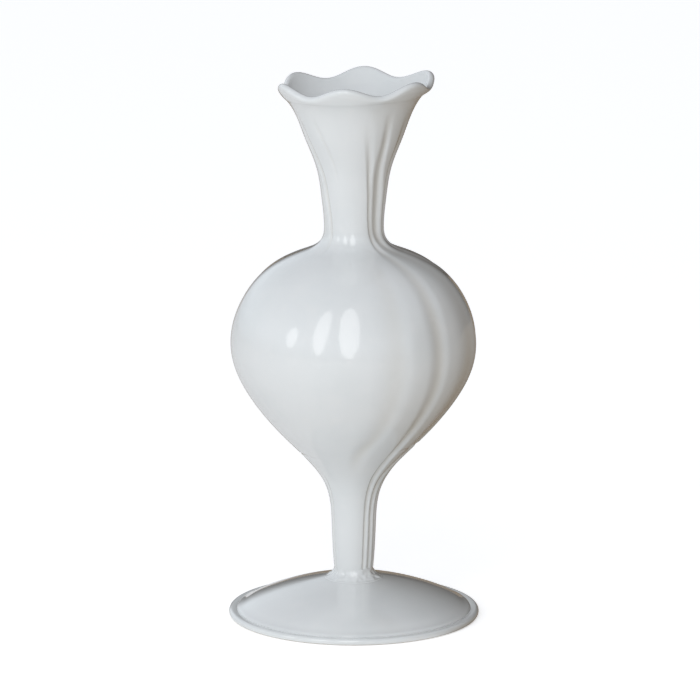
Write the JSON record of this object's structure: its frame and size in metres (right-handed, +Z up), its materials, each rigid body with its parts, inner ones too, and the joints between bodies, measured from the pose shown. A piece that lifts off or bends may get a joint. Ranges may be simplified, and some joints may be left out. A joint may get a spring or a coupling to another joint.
{
  "type": "footed bud vase",
  "caption": "Tall white bud vase with a ruffled lip, flared ribbed neck, onion-shaped bulb, slim stem and round foot, for a single bloom or a small posy.",
  "frame": {"origin": "centre of the resting ring on the ground, under the stem's axis", "axes": "+Z up along the axis from the foot to the mouth; +X to the right and +Y away, seen from the front"},
  "size_m": [0.1016, 0.1016, 0.22],
  "materials": {
    "white_glaze": "gloss",
    "foot_glaze": "gloss"
  },
  "bodies": {
    "root": {"mouth_lip": "white_glaze", "trumpet_neck": "white_glaze", "bulb": "white_glaze", "stem": "white_glaze", "stem_collar": "white_glaze", "foot": "foot_glaze", "foot_edge": "foot_glaze"}
  },
  "joints": []
}
